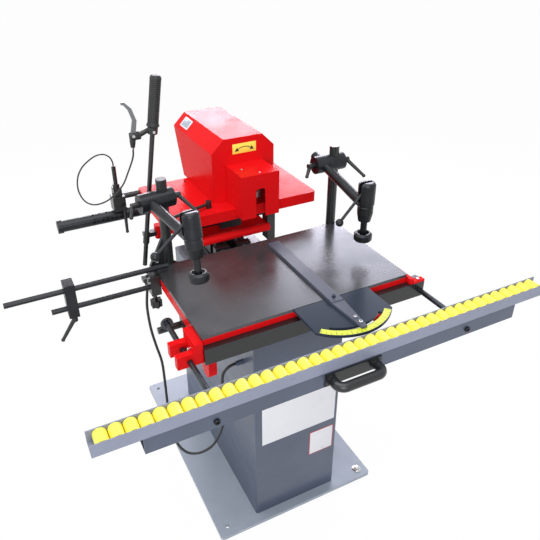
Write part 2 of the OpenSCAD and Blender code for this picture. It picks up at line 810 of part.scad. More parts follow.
module shaft_brackets() {
  top = slide_low + slide_t;
  color(black) {
    // bush bosses under the slide
    difference() {
      for (x = y_rod_x, y = y_bush_y) box([x - 24, y, y_rod_z - 22], [48, y_bush_l, slide_low - y_rod_z + 22]);
      for (x = y_rod_x) translate([x, slide_y, y_rod_z]) bar_y(guide_d + 2 * fit, slide_d);
    }
    // rod brackets on the slide's end faces; the front right one hangs lower
    for (k = [0, 1], y = x_rod_y) {
      w = bracket_w[k];
      x = k == 0 ? slide_left - w : slide_right;
      low = k == 1 && y == x_rod_y[0] ? slide_low - 47 : slide_low;
      difference() {
        box([x, y - 20, low], [w, 40, tray_top - tray_lip - 2 - low]);
        translate([x - 1, y, x_rod_z]) bar_x(guide_d + 2 * seat, w + 2);
      }
    }
    for (x = index_bracket_x) difference() {
      translate([x, 0, 0]) rotate([90, 0, 90]) linear_extrude(15) {
        translate([slide_y + slide_d - 22, top]) square([index_y - slide_y - slide_d + 22, 22]);
        translate([index_y, index_z]) circle(index_d / 2 + 12);
      }
      translate([x - 1, index_y, index_z]) bar_x(index_d + 2 * fit, 17);
    }
  }
}

module x_guide_rods() {
  color(black) for (y = x_rod_y)
    translate([slide_left - bracket_w[0] - 5, y, x_rod_z])
      bar_x(guide_d, slide_right - slide_left + bracket_w[0] + bracket_w[1] + 10);
}

module index_bar() {
  pitches = [24, 16, 12, 48];
  reach = 96;
  color(black) difference() {
    union() {
      translate([index_left, index_y, index_z]) bar_x(index_d, index_l);
      translate([index_left - 6, index_y, index_z]) bar_x(index_d + 6, 18);
    }
    for (r = [0 : 3], x = [-floor(reach / pitches[r]) : floor(reach / pitches[r])])
      translate([index_pin_x + x * pitches[r], index_y, index_z]) rotate([90 * r, 0, 0])
        translate([0, 0, index_d / 2 - 9]) bar_z(plunger_pin_d + 0.8, 12);
  }
}

// Boring head

module head_tray() {
  color(red) {
    difference() {
      translate([tray_left, tray_y, tray_top - tray_lip]) round_plate(tray_w, tray_d, tray_lip, 10);
      box([tray_left + sheet_t, tray_y + sheet_t, tray_top - tray_lip - 1],
          [tray_w - 2 * sheet_t, tray_d - 2 * sheet_t, tray_lip - sheet_t + 1]);
    }
    // ear for the hand lever at the left front corner
    translate([tray_left - ear_w, tray_y, tray_top - 44]) round_plate(ear_w + 2, 26, 44, 8);
  }
}

// Locking lever that lies over the tray's left part
module slide_lock_lever() {
  arm_l = 150;
  color(black) translate([lock_x, lock_y, tray_top + gap]) {
    bar_z(20, 24);
    rotate([0, 0, 197]) translate([0, 0, 14]) {
      bar_x(11, arm_l);
      translate([arm_l, 0, 0]) sphere(d = 13);
    }
  }
}

module x_bush_blocks() {
  low = x_rod_z - 22;
  color(black) for (y = x_rod_y) difference() {
    box([bush_x, y - 22, low], [bush_l, 44, tray_under - low]);
    translate([bush_x - 1, y, x_rod_z]) bar_x(guide_d + 2 * fit, bush_l + 2);
  }
}

// Front outline of the hood, shrunk by a wall
function hood_face(s) = [
  [hood_left + s, 0], [hood_left + hood_w - s, 0], [hood_left + hood_w - s, hood_h - hood_chamfer - s * 0.4],
  [hood_left + hood_w - hood_chamfer - s * 0.4, hood_h - s], [hood_left + hood_chamfer + s * 0.4, hood_h - s],
  [hood_left + s, hood_h - hood_chamfer - s * 0.4]];

// Side outline of the hood, shrunk by a wall
function hood_side(s) = [
  [hood_y + s, 0], [hood_foot_y - s, 0], [hood_back_y - s, hood_back_rise], [hood_back_y - s, hood_h],
  [hood_y + s, hood_h]];

module hood_block(s) {
  intersection() {
    translate([0, hood_back_y + 1, tray_top]) rotate([90, 0, 0])
      linear_extrude(hood_back_y - hood_y + 2) polygon(hood_face(s));
    translate([hood_left - 1, 0, tray_top]) rotate([90, 0, 90])
      linear_extrude(hood_w + 2) polygon(hood_side(s));
  }
}

module motor_hood() {
  color(red) difference() {
    hood_block(0);
    translate([0, 0, -eps]) hood_block(sheet_t);
    translate([spindle_x, hood_y - 1, spindle_z]) bar_y(90, sheet_t + 2);
  }
}

module chuck_guard() {
  top = tray_top + guard_up;
  low = tray_top - guard_drop;
  slot_top = spindle_z + 14;
  slot_r = 10;
  color(red) difference() {
    box([guard_left, guard_y, low], [guard_w, hood_y - guard_y, top - low]);
    box([guard_left + sheet_t, guard_y + sheet_t, low - 1],
        [guard_w - 2 * sheet_t, hood_y - guard_y, top - low - sheet_t + 1]);
    box([guard_left - 1, tray_y - gap, low - 1], [guard_w + 2, hood_y, guard_drop + 1]);
    // slot with rounded upper corners
    box([spindle_x - guard_slot_w / 2, guard_y - 1, low - 1],
        [guard_slot_w, sheet_t + 2, slot_top - slot_r - low + 1]);
    box([spindle_x - guard_slot_w / 2 + slot_r, guard_y - 1, low],
        [guard_slot_w - 2 * slot_r, sheet_t + 2, slot_top - low]);
    for (d = [-1, 1]) translate([spindle_x + d * (guard_slot_w / 2 - slot_r), guard_y - 1, slot_top - slot_r])
      bar_y(2 * slot_r, sheet_t + 2);
  }
}

module motor() {
  front = hood_y + 16;
  l = 250;
  color(dark_grey) translate([spindle_x, 0, spindle_z]) {
    difference() {
      union() {
        translate([0, front, 0]) bar_y(motor_d - 14, 22);
        translate([0, front + 22 - eps, 0]) bar_y(motor_d - 8, l - 60);
        for (k = [0 : 11]) translate([0, front + 30 + k * 15, 0]) bar_y(motor_d, 5);
        translate([0, front + l - 40, 0]) bar_y(motor_d - 4, 40);
      }
      translate([0, front - 1, 0]) bar_y(spindle_d + 2 * fit, 62);
    }
    for (x = [-50, 24], y = [front + 40, front + 150])
      box([x, y, -spindle_up], [26, 36, spindle_up - 32]);
  }
}

module chuck() {
  color(bright) translate([spindle_x, 0, spindle_z]) difference() {
    union() {
      translate([0, 14, 0]) bar_y(chuck_d, 58);
      translate([0, 72 - eps, 0]) rotate([-90, 0, 0]) cylinder(d1 = chuck_d, d2 = spindle_d + 14, h = 20);
      translate([0, 92 - 2 * eps, 0]) bar_y(spindle_d, 98 - eps);
    }
    translate([0, 13, 0]) bar_y(bit_d, 46);
  }
}

// Index and hand lever

module index_block() {
  x0 = index_pin_x - 22;
  color(black) difference() {
    union() {
      translate([x0 + 30, index_y, tray_top - 15]) bar_x(20, tray_left - x0 - 30);
      box([x0, index_y - 25, index_block_low], [44, 50, 54]);
      box([x0 + 8, index_y - 18, index_block_low + 54 - eps],
          [28, 36, index_block_top - index_block_low - 54]);
      translate([index_pin_x, index_y, index_block_top - eps]) {
        bar_z(24, 14);
        bar_z(15, adjuster_top - index_block_top);
      }
    }
    translate([index_pin_x, index_y, index_block_low - 1]) bar_z(plunger_pin_d + 2 * fit, 100);
  }
}

module index_plunger() {
  low = index_z + index_d / 2 + 0.8;
  color(bright) translate([index_pin_x, index_y, low]) bar_z(plunger_pin_d, 70);
}

module index_lever() {
  color(black) translate([index_pin_x + 12, index_y - 25 - gap, index_block_low + 14])
    rotate([90, 0, 0]) rotate([0, 0, -92]) clamp_lever(16, 88, 6);
}

module along_lever() { translate(lever_foot) rotate([0, lever_tilt, 0]) children(); }

module hand_lever() {
  socket_x = lever_foot.x + (tray_under - 13 - lever_foot.z) * tan(lever_tilt);
  color(black) {
    along_lever() bar_z(lever_d, lever_l);
    along_lever() translate([0, 0, 78]) bar_z(20, 40);
    box([socket_x - 6, lever_y + 4, tray_top - 28],
        [tray_left - ear_w - socket_x + 6, tray_y + 18 - lever_y - 4, 14]);
  }
}

module grip() {
  color(black) along_lever() translate([0, 0, lever_l + 6 - grip_l]) difference() {
    rotate_extrude() polygon([[0, 0], [grip_d / 2 + 2, 0], [grip_d / 2 + 2, 5], [grip_d / 2, 8],
      [grip_d / 2, grip_l - 4], [grip_d / 2 - 3, grip_l], [0, grip_l]]);
    translate([0, 0, -1]) bar_z(lever_d + 2 * seat, grip_l - 6 + 1 + seat);
  }
}

module brake_mount() {
  ring = 22;
  exit = brake_route[0];
  color(black) {
    difference() {
      union() {
        along_lever() translate([0, 0, mount_up - ring / 2]) bar_z(30, ring);
        box([blade_pivot.x + 28, lever_y - 6, blade_pivot.z + 2], [24, 12, 14]);
      }
      along_lever() translate([0, 0, mount_up - ring]) bar_z(lever_d + 2 * seat, 2 * ring);
    }
    // lever body with two cheeks and the cable barrel
    difference() {
      translate([blade_pivot.x - 11, lever_y - 9, blade_pivot.z - 16]) cube([40, 18, 32]);
      translate([blade_pivot.x - 12, lever_y - 4, blade_pivot.z - 9]) cube([33, 8, 26]);
    }
    translate([blade_pivot.x, lever_y - 9, blade_pivot.z]) bar_y(5, 18);
    translate([exit.x, exit.y, exit.z]) bar_z(11, blade_pivot.z - 16 - exit.z + eps);
  }
}

module brake_blade() {
  t = 8 - 2 * gap;
  color(bright) translate([blade_pivot.x, lever_y - t / 2, blade_pivot.z]) difference() {
    rotate([90, 0, 0]) translate([0, 0, -t]) linear_extrude(t) {
      circle(7.5);
      polygon([[-7, 0], [7.3, 1], [15, 42], [4, 78], [-14, 97], [-22, 98], [-24, 92], [-17, 89],
        [-6, 74], [3, 44]]);
    }
    translate([0, -1, 0]) bar_y(5 + 2 * fit, t + 2);
  }
}

module brake_cable() { color(black) cable(brake_route, brake_d, 3, 8); }

base_plate();
cabinet();
head_column();
y_guide_rods();
elevating_sleeve();
handwheel();
power_cable();
elevating_ram();
table_top();
table_frame();
front_beam();
rod_clamps();
clamp_posts();
stop_brackets();
fence_sector();
stop_knob();
left_collar();
left_collar_lever();
left_arm_boss();
left_boss_lever();
left_arm();
left_cam_lever();
left_plunger();
right_collar();
right_collar_lever();
right_arm_boss();
right_boss_lever();
right_arm();
right_cam_lever();
right_plunger();
stop_bar();
stop_block();
stop_block_lever();
stop_rod();
mitre_fence();
support_rods();
roller_rail();
support_tube();
rollers();
bow_handle();
cross_slide();
shaft_brackets();
x_guide_rods();
index_bar();
head_tray();
slide_lock_lever();
x_bush_blocks();
motor_hood();
chuck_guard();
motor();
chuck();
index_block();
index_plunger();
index_lever();
hand_lever();
grip();
brake_mount();
brake_blade();
brake_cable();
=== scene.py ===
"""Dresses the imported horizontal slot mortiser: finishes, cables, small fittings and a plain studio."""
import math

import bmesh
import bpy
from bpy.props import FloatProperty, FloatVectorProperty, IntProperty, PointerProperty
from mathutils import Euler, Matrix, Vector


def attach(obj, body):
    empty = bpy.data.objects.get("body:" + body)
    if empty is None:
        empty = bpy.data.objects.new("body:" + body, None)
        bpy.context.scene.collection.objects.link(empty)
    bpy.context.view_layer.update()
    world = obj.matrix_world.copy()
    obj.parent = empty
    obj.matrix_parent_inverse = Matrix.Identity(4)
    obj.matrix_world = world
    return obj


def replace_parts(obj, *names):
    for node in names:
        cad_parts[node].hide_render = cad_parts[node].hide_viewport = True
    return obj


bl_info = {
    "name": "Slot mortiser dressing",
    "version": (1, 0, 0),
    "blender": (4, 5, 0),
    "location": "View3D > Sidebar > Mortiser",
    "description": "Finishes, cables and small fittings for a horizontal slot mortiser",
    "category": "Object",
}

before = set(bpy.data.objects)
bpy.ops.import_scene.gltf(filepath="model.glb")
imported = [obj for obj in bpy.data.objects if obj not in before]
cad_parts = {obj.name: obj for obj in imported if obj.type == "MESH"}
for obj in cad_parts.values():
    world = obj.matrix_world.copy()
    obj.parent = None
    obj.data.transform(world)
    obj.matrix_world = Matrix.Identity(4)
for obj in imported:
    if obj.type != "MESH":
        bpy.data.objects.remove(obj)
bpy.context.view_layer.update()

MM = 0.001
PHOTO_PX = 540  # side of the square photograph
SENSOR = 36.0  # width of the camera's sensor in millimetres
SHARP = math.radians(38)  # an edge that bends more than this stays sharp

# Directions that screws and plates face
LEFT, FRONT, BACK, UP = (-1, 0, 0), (0, -1, 0), (0, 1, 0), (0, 0, 1)

# Routes of the two cables, as in the part's source, in millimetres
POWER_ROUTE = [
    (-337, 45, 768), (-341, 43, 745), (-351, 27, 697), (-353, 3, 628), (-346, -15, 563),
    (-337, -30, 500), (-340, -50, 410), (-345, -70, 330), (-345, -90, 250), (-338, -120, 195),
    (-315, -150, 170), (-280, -180, 180), (-243, -210, 225), (-222, -235, 295), (-215, -260, 375),
    (-218, -280, 465), (-224, -290, 540), (-226, -298, 572), (-226, -300, 601), (-221, -300, 620),
    (-206, -300, 635), (-190, -300, 640), (-180, -300, 640),
]
BRAKE_ROUTE = [
    (-333, 30, 1243), (-334, 34, 1222), (-338, 50, 1195), (-345, 80, 1155), (-356, 110, 1110),
    (-376, 140, 1070), (-405, 170, 1037), (-438, 195, 1022), (-464, 215, 1032), (-476, 230, 1065),
    (-470, 246, 1100), (-450, 266, 1124), (-421, 290, 1136), (-390, 315, 1140), (-361, 335, 1133),
    (-340, 349, 1115), (-331, 355, 1095), (-330, 355, 1080),
]

# Which finish each CAD node wears
FINISH_OF = {
    "red_paint": ["table_frame", "rod_clamps", "cross_slide", "head_tray", "motor_hood", "chuck_guard"],
    "black_paint": ["head_column", "front_beam", "clamp_posts", "stop_brackets", "bow_handle",
                    "shaft_brackets", "x_bush_blocks", "hand_lever", "index_block", "brake_mount"],
    "black_oxide": ["left_collar", "left_arm_boss", "left_arm", "left_plunger", "left_cam_lever",
                    "right_collar", "right_arm_boss", "right_arm", "right_plunger", "right_cam_lever",
                    "x_guide_rods", "index_bar", "stop_bar", "stop_block", "stop_rod"],
    "rod_steel": ["support_rods"],
    "ground_steel": ["table_top", "elevating_ram"],
    "bright_steel": ["y_guide_rods", "chuck", "index_plunger"],
    "blade_steel": ["brake_blade"],
    "stand_paint": ["cabinet", "support_tube"],
    "base_paint": ["base_plate"],
    "dark_paint": ["elevating_sleeve", "motor"],
    "fence_paint": ["mitre_fence"],
    "sector_paint": ["fence_sector"],
    "rail_coat": ["roller_rail"],
    "roller_plastic": ["rollers"],
    "black_plastic": ["handwheel", "stop_knob", "stop_block_lever", "left_collar_lever", "left_boss_lever",
                      "right_collar_lever", "right_boss_lever", "index_lever", "slide_lock_lever"],
}


def tone(red, green, blue):
    """A colour as it shows on a screen, 0 to 255, as the linear values Blender takes."""
    def linear(v):
        v /= 255
        return v / 12.92 if v <= 0.04045 else ((v + 0.055) / 1.055) ** 2.4
    return tuple(linear(v) for v in (red, green, blue))


def colour(name, text, screen):
    """A colour as it shows on a screen as a property."""
    return FloatVectorProperty(name=name, description=text, subtype="COLOR", size=3, min=0, max=1,
                               default=tone(*screen))


def size(name, text, length):
    """A length in millimetres as a property in metres."""
    return FloatProperty(name=name, description=text, default=length * MM, min=0, unit="LENGTH")


class MortiserColours(bpy.types.PropertyGroup):
    red: colour("Red", "Enamel of the head, the table frame and the rod clamps", (222, 22, 26))
    black: colour("Black", "Satin paint of brackets, posts and levers", (24, 26, 28))
    oxide: colour("Blackened steel", "Stop rods, clamps and the index bar", (36, 38, 42))
    rod: colour("Rod steel", "Rods that carry the roller rail", (70, 74, 80))
    steel: colour("Ground steel", "Table plate and elevating ram", (88, 88, 92))
    bright: colour("Bright steel", "Polished rods and chuck", (205, 206, 208))
    blade: colour("Blade grey", "Cast blade of the brake lever", (128, 130, 134))
    stand: colour("Blue-grey", "Enamel of the cabinet and the tube under the rail", (76, 86, 106))
    base: colour("Light grey", "Enamel of the base plate and the badge", (160, 170, 184))
    dark: colour("Dark grey", "Enamel of the motor and the ram's sleeve", (62, 65, 76))
    fence: colour("Fence grey", "Paint of the mitre fence bar", (84, 88, 102))
    sector: colour("Sector blue-grey", "Gloss of the mitre sector", (50, 58, 72))
    rail: colour("Rail grey", "Zinc coat of the roller rail", (138, 144, 164))
    roller: colour("Roller yellow", "Plastic of the rollers", (255, 240, 92))
    scale: colour("Scale yellow", "Printed scale of the mitre sector", (208, 218, 48))
    sticker: colour("Sticker yellow", "Arrow sticker on the hood", (255, 236, 96))
    plate: colour("Plate white", "Bare label plates", (226, 227, 232))
    rubber: colour("Rubber", "Grip and cable jackets", (25, 26, 28))


class MortiserSizes(bpy.types.PropertyGroup):
    power_cable_d: size("Power cable", "Diameter of the power cable", 9)
    brake_cable_d: size("Brake cable", "Diameter of the brake cable", 5)
    grip_rib: size("Grip rib pitch", "Distance between the grip's ribs", 6)
    scale_w: size("Scale width", "Width of the printed scale", 19)
    scale_rim: size("Scale rim", "Distance from the scale to the sector's edge", 1.5)
    sticker_w: size("Sticker width", "Width of the arrow sticker", 86)
    sticker_h: size("Sticker height", "Height of the arrow sticker", 34)
    label_w: size("Label width", "Width of the bare label plate", 272)
    label_h: size("Label height", "Height of the bare label plate", 190)
    cap_r: size("Cap screw radius", "Radius of a socket head screw", 8)
    tick_step: IntProperty(name="Tick step", description="Degrees between the scale's ticks", default=5,
                           min=1)


class MortiserView(bpy.types.PropertyGroup):
    place: FloatVectorProperty(name="Camera place", description="Where the photograph was taken from",
                               subtype="TRANSLATION", unit="LENGTH", default=(-0.715, -1.540, 1.804))
    heading: FloatProperty(name="Heading", description="Turn from +Y towards +X", subtype="ANGLE",
                           default=math.radians(25.46))
    dip: FloatProperty(name="Dip", description="Angle below the horizon", subtype="ANGLE",
                       default=math.radians(29.52))
    roll: FloatProperty(name="Roll", description="Lean of the camera to the right", subtype="ANGLE",
                        default=math.radians(1.07))
    focal_px: FloatProperty(name="Focal length", description="In pixels of the photograph", default=576.8)
    centre_px: FloatVectorProperty(name="Optical centre", description="In pixels of the photograph", size=2,
                                   default=(250.1, 248.6))


# Materials

def put(tree, kind, sockets=None, **settings):
    """Adds a node; a socket is given a value, or linked where the value is another node's output."""
    made = tree.nodes.new(kind)
    for key, value in settings.items():
        setattr(made, key, value)
    for key, value in (sockets or {}).items():
        if isinstance(value, bpy.types.NodeSocket):
            tree.links.new(value, made.inputs[key])
        else:
            made.inputs[key].default_value = value
    return made


def shade(rgb, gain):
    """A colour made lighter or darker, with its alpha."""
    return tuple(min(1.0, v * gain) for v in rgb) + (1.0,)


def start(name):
    """A new material with its tree, shader and Object coordinates."""
    material = bpy.data.materials.new(name)
    material.use_nodes = True
    tree = material.node_tree
    shader = tree.nodes["Principled BSDF"]
    coords = put(tree, "ShaderNodeTexCoord").outputs["Object"]
    return material, tree, shader, coords


def stretched(tree, coords, scale):
    return put(tree, "ShaderNodeMapping", {"Vector": coords, "Scale": scale}).outputs["Vector"]


def noise(tree, coords, scale, detail=3.0, rough=0.55):
    sockets = {"Vector": coords, "Scale": scale, "Detail": detail, "Roughness": rough}
    return put(tree, "ShaderNodeTexNoise", sockets).outputs["Fac"]


def ranged(tree, value, low, high, out_low, out_high):
    sockets = {"Value": value, "From Min": low, "From Max": high, "To Min": out_low, "To Max": out_high}
    return put(tree, "ShaderNodeMapRange", sockets).outputs["Result"]


def product(tree, first, second):
    return put(tree, "ShaderNodeMath", {0: first, 1: second}, operation="MULTIPLY").outputs["Value"]


def bumped(tree, shader, soft, height, strength, deep):
    """Roughens the softened normal with a pattern."""
    sockets = {"Strength": strength, "Distance": deep, "Normal": soft, "Height": height}
    bump = put(tree, "ShaderNodeBump", sockets)
    tree.links.new(bump.outputs["Normal"], shader.inputs["Normal"])


def blended(tree, factor, first, second):
    """Two colours, given or linked, mixed by a linked factor."""
    made = put(tree, "ShaderNodeMix", {0: factor, 6: first, 7: second}, data_type="RGBA")
    return made.outputs[2]


def edge_mask(tree, radius):
    """Where the surface bends over an edge, and the softened normal there."""
    soft = put(tree, "ShaderNodeBevel", {"Radius": radius}, samples=4).outputs["Normal"]
    plain = put(tree, "ShaderNodeNewGeometry").outputs["Normal"]
    dot = put(tree, "ShaderNodeVectorMath", {0: soft, 1: plain}, operation="DOT_PRODUCT").outputs["Value"]
    return ranged(tree, dot, 0.99, 0.80, 0.0, 1.0), soft


def enamel(name, rgb, rough=0.28, coat=0.25, coat_rough=0.12, peel=0.06, wear=0.25, soil=0.12, gloss=0.5,
           fold=1.2 * MM, bare=(0.30, 0.30, 0.31)):
    """Paint on metal: a little cloudy, a fine orange peel, and edges rubbed towards the metal."""
    material, tree, shader, coords = start(name)
    cloud = noise(tree, coords, 7.0, 4.0)
    clouded = ranged(tree, cloud, 0.35, 0.7, 0.0, 1.0)
    paint = blended(tree, clouded, shade(rgb, 1.0 - soil), shade(rgb, 1.0 + soil / 2))
    edge, soft = edge_mask(tree, fold)
    chips = ranged(tree, noise(tree, coords, 160.0, 5.0, 0.7), 0.48, 0.66, 0.0, wear)
    worn = product(tree, edge, chips)
    tree.links.new(blended(tree, worn, paint, bare + (1.0,)), shader.inputs["Base Color"])
    smear = noise(tree, stretched(tree, coords, (9.0, 9.0, 30.0)), 1.0, 4.0)
    tree.links.new(ranged(tree, smear, 0.3, 0.75, rough - 0.06, rough + 0.10), shader.inputs["Roughness"])
    bumped(tree, shader, soft, noise(tree, coords, 420.0, 2.0), peel, 0.4 * MM)
    shader.inputs["Specular IOR Level"].default_value = gloss
    shader.inputs["Coat Weight"].default_value = coat
    shader.inputs["Coat Roughness"].default_value = coat_rough
    return material


def ground(name, rgb, rough=0.24, metallic=0.6, grain=(4.0, 260.0, 4.0), stain=0.22):
    """Ground steel: fine lines along the grinding, cloudy oil stains and a soft reflection."""
    material, tree, shader, coords = start(name)
    lines = noise(tree, stretched(tree, coords, grain), 3.0, 6.0, 0.7)
    stains = noise(tree, coords, 9.0, 5.0, 0.6)
    base = blended(tree, ranged(tree, lines, 0.3, 0.7, 0.0, 1.0), shade(rgb, 0.86), shade(rgb, 1.12))
    oiled = blended(tree, ranged(tree, stains, 0.45, 0.72, 0.0, stain), base, shade(rgb, 0.42))
    tree.links.new(oiled, shader.inputs["Base Color"])
    tree.links.new(ranged(tree, stains, 0.3, 0.7, rough + 0.08, rough - 0.08), shader.inputs["Roughness"])
    _, soft = edge_mask(tree, 0.8 * MM)
    bumped(tree, shader, soft, lines, 0.10, 0.1 * MM)
    shader.inputs["Metallic"].default_value = metallic
    return material


def blackened(name, rgb, rough=0.30, metallic=0.55, bare=(0.20, 0.20, 0.21)):
    """Blackened steel: oily, with turned lines, rubbed bright along its edges."""
    material, tree, shader, coords = start(name)
    cloud = noise(tree, coords, 24.0, 5.0, 0.6)
    base = blended(tree, ranged(tree, cloud, 0.35, 0.7, 0.0, 1.0), shade(rgb, 0.75), shade(rgb, 1.25))
    edge, soft = edge_mask(tree, 1.0 * MM)
    rub = ranged(tree, noise(tree, coords, 90.0, 4.0), 0.42, 0.7, 0.0, 0.5)
    worn = product(tree, edge, rub)
    tree.links.new(blended(tree, worn, base, bare + (1.0,)), shader.inputs["Base Color"])
    tree.links.new(ranged(tree, cloud, 0.3, 0.7, rough - 0.08, rough + 0.12), shader.inputs["Roughness"])
    bumped(tree, shader, soft, noise(tree, coords, 600.0, 2.0), 0.08, 0.2 * MM)
    shader.inputs["Metallic"].default_value = metallic
    return material


def polished(name, rgb, rough=0.16):
    """Bright polished steel with faint scratches."""
    material, tree, shader, coords = start(name)
    scratches = noise(tree, stretched(tree, coords, (30.0, 400.0, 400.0)), 2.0, 5.0, 0.7)
    tree.links.new(blended(tree, scratches, shade(rgb, 0.9), shade(rgb, 1.05)), shader.inputs["Base Color"])
    tree.links.new(ranged(tree, scratches, 0.3, 0.7, rough - 0.05, rough + 0.10), shader.inputs["Roughness"])
    _, soft = edge_mask(tree, 0.6 * MM)
    bumped(tree, shader, soft, scratches, 0.04, 0.1 * MM)
    shader.inputs["Metallic"].default_value = 1.0
    return material


def moulded(name, rgb, rough=0.42, grain=0.10, grain_scale=700.0, soil=0.10):
    """Moulded plastic or rubber with a fine grain."""
    material, tree, shader, coords = start(name)
    cloud = noise(tree, coords, 30.0, 4.0)
    clouded = ranged(tree, cloud, 0.3, 0.7, 0.0, 1.0)
    base = blended(tree, clouded, shade(rgb, 1.0 - soil), shade(rgb, 1.0 + soil))
    tree.links.new(base, shader.inputs["Base Color"])
    tree.links.new(ranged(tree, cloud, 0.3, 0.7, rough - 0.05, rough + 0.08), shader.inputs["Roughness"])
    _, soft = edge_mask(tree, 0.8 * MM)
    bumped(tree, shader, soft, noise(tree, coords, grain_scale, 2.0), grain, 0.3 * MM)
    return material


FINISHES = {}


def mix_finishes(c):
    """One material for each finish of the CAD nodes and of the pieces made here."""
    FINISHES.update({
        "red_paint": enamel("red_enamel", tuple(c.red), rough=0.24, coat=0.05, wear=0.06,
                            soil=0.03, gloss=0.025, fold=2.4 * MM),
        "black_paint": enamel("black_satin", tuple(c.black), rough=0.32, coat=0.15, peel=0.10, soil=0.2),
        "black_oxide": blackened("blackened_steel", tuple(c.oxide)),
        "rod_steel": blackened("rod_steel", tuple(c.rod), rough=0.26, metallic=0.8),
        "ground_steel": ground("ground_steel", tuple(c.steel)),
        "bright_steel": polished("bright_steel", tuple(c.bright)),
        "blade_steel": polished("blade_steel", tuple(c.blade), rough=0.30),
        "stand_paint": enamel("blue_grey_enamel", tuple(c.stand), rough=0.34, coat=0.15, peel=0.12),
        "base_paint": enamel("light_grey_enamel", tuple(c.base), rough=0.38, coat=0.10, wear=0.4),
        "dark_paint": enamel("dark_grey_enamel", tuple(c.dark), rough=0.36, coat=0.12),
        "fence_paint": enamel("fence_grey", tuple(c.fence), rough=0.34, coat=0.03, soil=0.10, gloss=0.2),
        "sector_paint": enamel("sector_gloss", tuple(c.sector), rough=0.20, coat=0.02, wear=0.1,
                               soil=0.08, gloss=0.08),
        "rail_coat": enamel("zinc_grey", tuple(c.rail), rough=0.30, coat=0.0, peel=0.04, wear=0.2, soil=0.06),
        "roller_plastic": moulded("yellow_rollers", tuple(c.roller), rough=0.30, grain=0.03, soil=0.04),
        "black_plastic": moulded("black_levers", tuple(c.black), rough=0.32, grain=0.12),
        "rubber": moulded("black_rubber", tuple(c.rubber), rough=0.55, grain=0.25, grain_scale=500.0),
        "cable_jacket": moulded("cable_jacket", tuple(c.rubber), rough=0.45, grain=0.08),
        "scale_print": moulded("scale_yellow", tuple(c.scale), rough=0.35, grain=0.02, soil=0.05),
        "sticker": moulded("sticker_yellow", tuple(c.sticker), rough=0.35, grain=0.02, soil=0.03),
        "plate_white": moulded("plate_white", tuple(c.plate), rough=0.32, grain=0.01, soil=0.015),
        "print_black": moulded("print_black", tuple(c.rubber), rough=0.45, grain=0.02),
        "print_red": moulded("print_red", tuple(c.red), rough=0.40, grain=0.02),
    })


# Mesh work

def piece(name, bm, body, finish):
    """Closes a bmesh into an object at the origin that rides on a body."""
    bmesh.ops.recalc_face_normals(bm, faces=bm.faces)
    mesh = bpy.data.meshes.new(name)
    bm.to_mesh(mesh)
    bm.free()
    mesh.shade_smooth()
    mesh.set_sharp_from_angle(angle=SHARP)
    mesh.materials.append(FINISHES[finish])
    obj = bpy.data.objects.new(name, mesh)
    bpy.context.scene.collection.objects.link(obj)
    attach(obj, body)
    return obj


def mm(*values):
    """Millimetres as a vector in metres."""
    return Vector(values) * MM


def moved(bm, verts, matrix):
    bmesh.ops.transform(bm, matrix=matrix, verts=verts)
    return verts


def slab(bm, dims, matrix, round_by=0.0):
    """A box of the given sizes about a matrix's origin, with rounded edges."""
    verts = bmesh.ops.create_cube(bm, size=1.0)["verts"]
    bmesh.ops.scale(bm, vec=dims, verts=verts)
    if round_by:
        edges = list({e for v in verts for e in v.link_edges})
        made = bmesh.ops.bevel(bm, geom=edges, offset=round_by, segments=2, profile=0.5, affect="EDGES",
                               material=-1)
        verts = list({v for f in made["faces"] for v in f.verts} | {v for v in verts if v.is_valid})
    return moved(bm, verts, matrix)


def lathe(bm, outline, matrix, steps=32):
    """Turns an outline of (radius, height) about the matrix's Z axis."""
    line = [bm.verts.new((r, 0, z)) for r, z in outline]
    edges = [bm.edges.new(pair) for pair in zip(line, line[1:])]
    before = set(bm.verts) - set(line)
    bmesh.ops.spin(bm, geom=line + edges, cent=(0, 0, 0), axis=UP, angle=math.tau, steps=steps,
                   use_merge=True)
    verts = [v for v in bm.verts if v not in before]
    bmesh.ops.remove_doubles(bm, verts=verts, dist=1e-6)
    verts = [v for v in bm.verts if v not in before]
    return moved(bm, verts, matrix)


def facing(place, normal):
    """A matrix whose Z axis points along a normal, at a place in millimetres."""
    turn = Vector(normal).to_track_quat("Z", "Y").to_matrix().to_4x4()
    return Matrix.Translation(mm(*place)) @ turn


def along_lever(up):
    """A matrix on the hand lever's axis, a length up from its foot."""
    foot, tilt = mm(-340, 30, 858), math.radians(9.2)
    return Matrix.Translation(foot) @ Matrix.Rotation(tilt, 4, "Y") @ Matrix.Translation((0, 0, up))


def scaled(outline):
    """An outline in millimetres as one in metres."""
    return [(r * MM, z * MM) for r, z in outline]


def cap_screw(bm, place, normal, radius, height):
    """A socket head screw that stands on a face."""
    r, h = radius, height
    lathe(bm, [(0, 0.35 * h), (0.48 * r, 0.4 * h), (0.52 * r, h), (0.88 * r, h), (r, 0.86 * h), (r, 0)],
          facing(place, normal), steps=20)


def hex_bolt(bm, place, normal, radius, height):
    """A hexagon head on its washer."""
    at, r, h = facing(place, normal), radius, height
    lathe(bm, [(0, 0.22 * h), (1.4 * r, 0.22 * h), (1.5 * r, 0.14 * h), (1.5 * r, 0)], at)
    lathe(bm, [(0, h), (0.82 * r, h), (r, 0.9 * h), (r, 0.2 * h)], at, steps=6)


def smooth_route(route, steps=4):
    """Catmull-Rom points through a route, in metres."""
    p = [mm(*q) for q in route]
    p = [p[0]] + p + [p[-1]]
    out = []
    for a, b, c, d in zip(p, p[1:], p[2:], p[3:]):
        for k in range(steps):
            t = k / steps
            out.append(0.5 * (2 * b + (c - a) * t + (2 * a - 5 * b + 4 * c - d) * t ** 2
                              + (3 * b - a - 3 * c + d) * t ** 3))
    return out + [p[-1]]


# Operators

